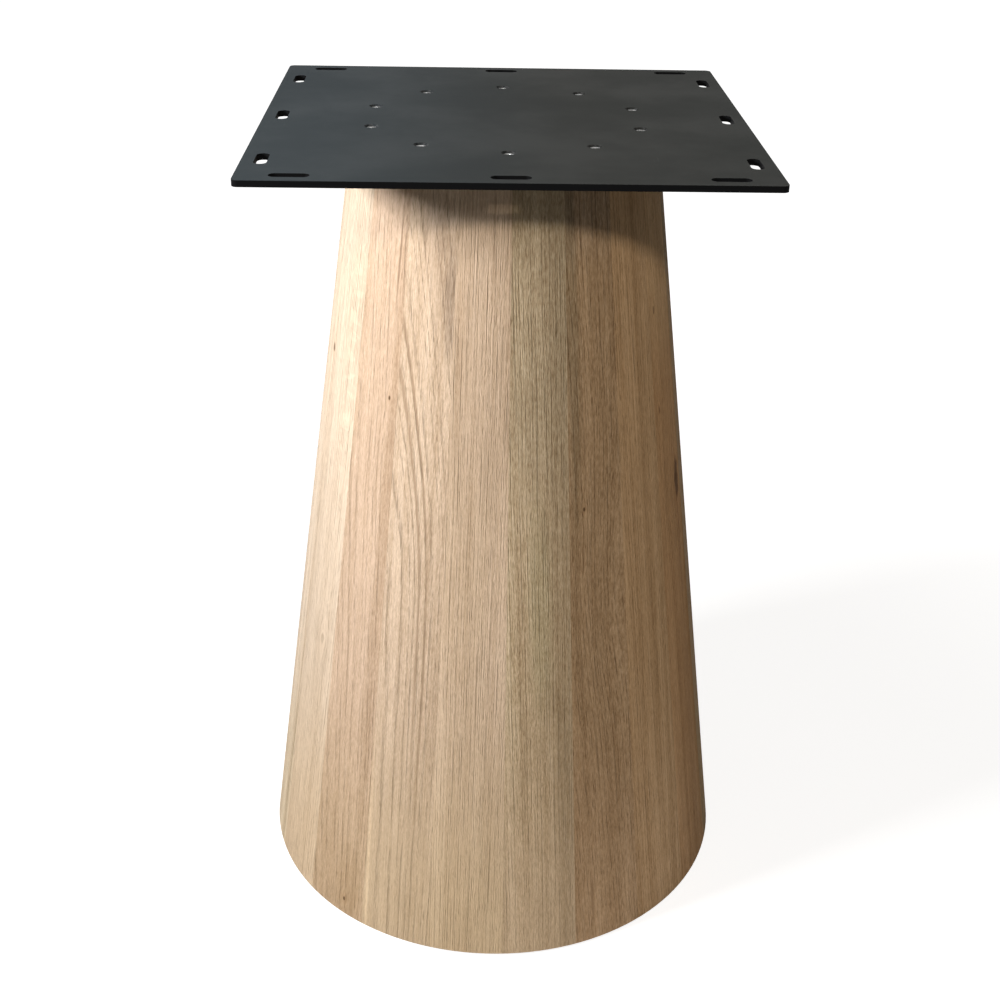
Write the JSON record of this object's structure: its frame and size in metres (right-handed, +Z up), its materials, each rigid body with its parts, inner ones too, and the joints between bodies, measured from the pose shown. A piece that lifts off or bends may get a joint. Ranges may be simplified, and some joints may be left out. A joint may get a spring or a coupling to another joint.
{
  "type": "conical table leg",
  "caption": "Round conical table leg of glued tapered wooden staves, with a square black steel plate on top that is slotted along its edges for screwing to a table top.",
  "frame": {"origin": "centre of the foot, on the floor", "axes": "+Z up along the cone's axis; -Y is the side of the plate that faces the camera in the picture; +X is to the right there"},
  "size_m": [0.4496, 0.4496, 0.72],
  "materials": {
    "black_steel": "satin",
    "zinc_steel": "satin",
    "oak_cream": "matt",
    "oak_pink": "matt",
    "oak_straw": "matt",
    "oak_tan": "matt",
    "oak_brown": "matt",
    "plywood": "matt",
    "felt": "matt"
  },
  "bodies": {
    "root": {"mounting_plate": "black_steel", "plate_screws": "zinc_steel", "stave_01": "oak_straw", "stave_02": "oak_brown", "stave_03": "oak_straw", "stave_04": "oak_tan", "stave_05": "oak_brown", "stave_06": "oak_pink", "stave_07": "oak_straw", "stave_08": "oak_tan", "stave_09": "oak_cream", "stave_10": "oak_straw", "stave_11": "oak_tan", "stave_12": "oak_pink", "stave_13": "oak_cream", "stave_14": "oak_tan", "stave_15": "oak_pink", "stave_16": "oak_straw", "stave_17": "oak_cream", "stave_18": "oak_pink", "stave_19": "oak_tan", "stave_20": "oak_straw", "head_disc": "plywood", "base_disc": "plywood", "felt_pad_front_right": "felt", "felt_pad_back_right": "felt", "felt_pad_back_left": "felt", "felt_pad_front_left": "felt"}
  },
  "joints": []
}
